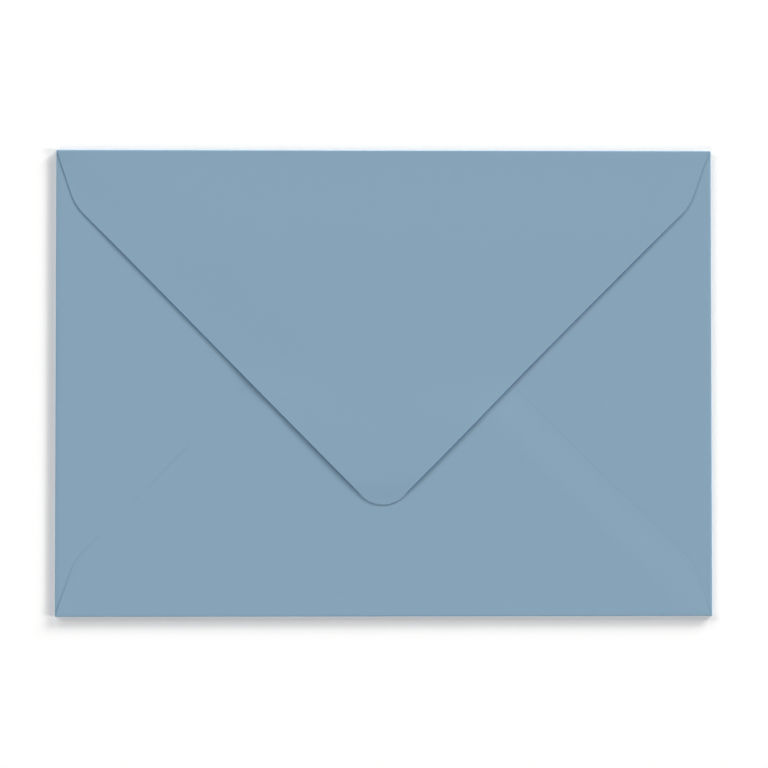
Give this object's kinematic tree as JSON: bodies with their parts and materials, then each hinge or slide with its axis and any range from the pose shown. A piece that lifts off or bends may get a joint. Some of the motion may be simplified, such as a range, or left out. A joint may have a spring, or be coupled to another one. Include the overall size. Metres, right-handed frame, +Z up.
{
  "type": "paper envelope",
  "caption": "Closed paper envelope folded from one sheet, with a deep pointed top flap over two side flaps and a pointed bottom flap.",
  "frame": {"origin": "middle of the address panel's outer face, on the surface that the envelope lies on", "axes": "+X along the width, +Y towards the fold of the top flap, +Z up out of the back"},
  "size_m": [0.176, 0.125, 0.0013],
  "materials": {
    "paper": "uncoated, dyed through"
  },
  "bodies": {
    "root": {"envelope": "paper"}
  },
  "joints": []
}
